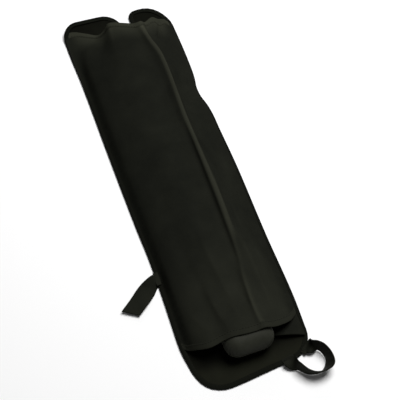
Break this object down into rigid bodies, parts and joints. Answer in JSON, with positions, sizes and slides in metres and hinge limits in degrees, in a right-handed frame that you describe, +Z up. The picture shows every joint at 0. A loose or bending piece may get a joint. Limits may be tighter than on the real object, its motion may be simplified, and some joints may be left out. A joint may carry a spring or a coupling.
{
  "type": "music stand in carry bag",
  "caption": "Folded tripod music stand in its soft black carry bag, with its base hub showing at the open mouth, a corner loop handle and a side strap.",
  "frame": {"origin": "middle of the bag back panel, on the surface that the bag lies on", "axes": "+X across the bag, +Y along the bag away from its mouth, +Z up out of the back panel"},
  "size_m": [0.201, 0.5496, 0.042],
  "materials": {
    "shell_cloth": "coated woven polyester, faint sheen",
    "lining_cloth": "matt woven lining",
    "binding_tape": "ribbed tape, stitched",
    "webbing": "woven polypropylene webbing",
    "hub_plastic": "moulded, fine satin",
    "black_tube": "black powder coat",
    "bright_tube": "bright plated",
    "foot_rubber": "matt",
    "rivet_steel": "zinc plated",
    "desk_enamel": "black baked enamel",
    "spring_wire": "nickel plated"
  },
  "bodies": {
    "bag": {"back_panel": "lining_cloth", "front_panel": "shell_cloth", "left_binding": "binding_tape", "right_binding": "binding_tape", "mouth_hem": "binding_tape", "end_hem": "binding_tape", "left_tab_binding": "binding_tape", "right_tab_binding": "binding_tape", "mouth_facing": "lining_cloth", "strap_anchor": "webbing"},
    "flap": {"closure_flap": "shell_cloth", "flap_binding": "binding_tape", "loop_anchors": "webbing"},
    "loop": {"loop_handle": "webbing"},
    "strap": {"side_strap": "webbing"},
    "tripod": {"base_hub": "hub_plastic", "outer_tube": "black_tube", "left_leg": "black_tube", "right_leg": "black_tube", "rear_leg": "black_tube", "left_foot": "foot_rubber", "right_foot": "foot_rubber", "rear_foot": "foot_rubber", "leg_pins": "rivet_steel", "lower_collar": "hub_plastic"},
    "lower_screw": {"lower_wing_screw": "hub_plastic"},
    "middle_section": {"middle_tube": "bright_tube", "middle_bush": "hub_plastic", "upper_collar": "hub_plastic"},
    "upper_screw": {"upper_wing_screw": "hub_plastic"},
    "rod": {"top_rod": "bright_tube", "rod_bush": "hub_plastic", "rod_cap": "hub_plastic"},
    "desk": {"desk_spine": "desk_enamel", "desk_socket": "hub_plastic", "left_lower_arm": "desk_enamel", "right_lower_arm": "desk_enamel", "left_upper_arm": "desk_enamel", "right_upper_arm": "desk_enamel", "left_ledge": "desk_enamel", "right_ledge": "desk_enamel", "left_page_clip": "spring_wire", "right_page_clip": "spring_wire", "desk_rivets": "rivet_steel"},
    "desk_screw": {"desk_thumb_screw": "hub_plastic"}
  },
  "joints": [
    {"name": "stand_slide", "type": "slide", "parent": "bag", "child": "tripod", "axis": [0, -1, 0], "range_m": [0, 0.44]},
    {"name": "desk_slide", "type": "slide", "parent": "bag", "child": "desk", "axis": [0, -1, 0], "range_m": [0, 0.4]},
    {"name": "middle_tube_slide", "type": "slide", "parent": "tripod", "child": "middle_section", "axis": [0, 1, 0], "range_m": [0, 0.28]},
    {"name": "rod_slide", "type": "slide", "parent": "middle_section", "child": "rod", "axis": [0, 1, 0], "range_m": [0, 0.28]},
    {"name": "lower_screw_turn", "type": "hinge", "parent": "tripod", "child": "lower_screw", "pos_m": [0.002, 0.176, 0.0181], "axis": [1, 0, 0], "range_deg": [0, 180]},
    {"name": "upper_screw_turn", "type": "hinge", "parent": "middle_section", "child": "upper_screw", "pos_m": [0.002, 0.202, 0.0181], "axis": [1, 0, 0], "range_deg": [0, 180]},
    {"name": "desk_screw_turn", "type": "hinge", "parent": "desk", "child": "desk_screw", "pos_m": [-0.043, -0.184, 0.0101], "axis": [0, 0, 1], "range_deg": [0, 180]},
    {"name": "flap_fold", "type": "hinge", "parent": "bag", "child": "flap", "pos_m": [0, -0.24, 0.0012], "axis": [1, 0, 0], "range_deg": [-90, 0]},
    {"name": "loop_lift", "type": "hinge", "parent": "flap", "child": "loop", "pos_m": [0.0555, -0.25525, 0.0023], "axis": [-0.7406, -0.672, 0], "range_deg": [0, 75]},
    {"name": "strap_lift", "type": "hinge", "parent": "bag", "child": "strap", "pos_m": [-0.071, -0.113, 0.00075], "axis": [0, 1, 0], "range_deg": [0, 90]}
  ]
}
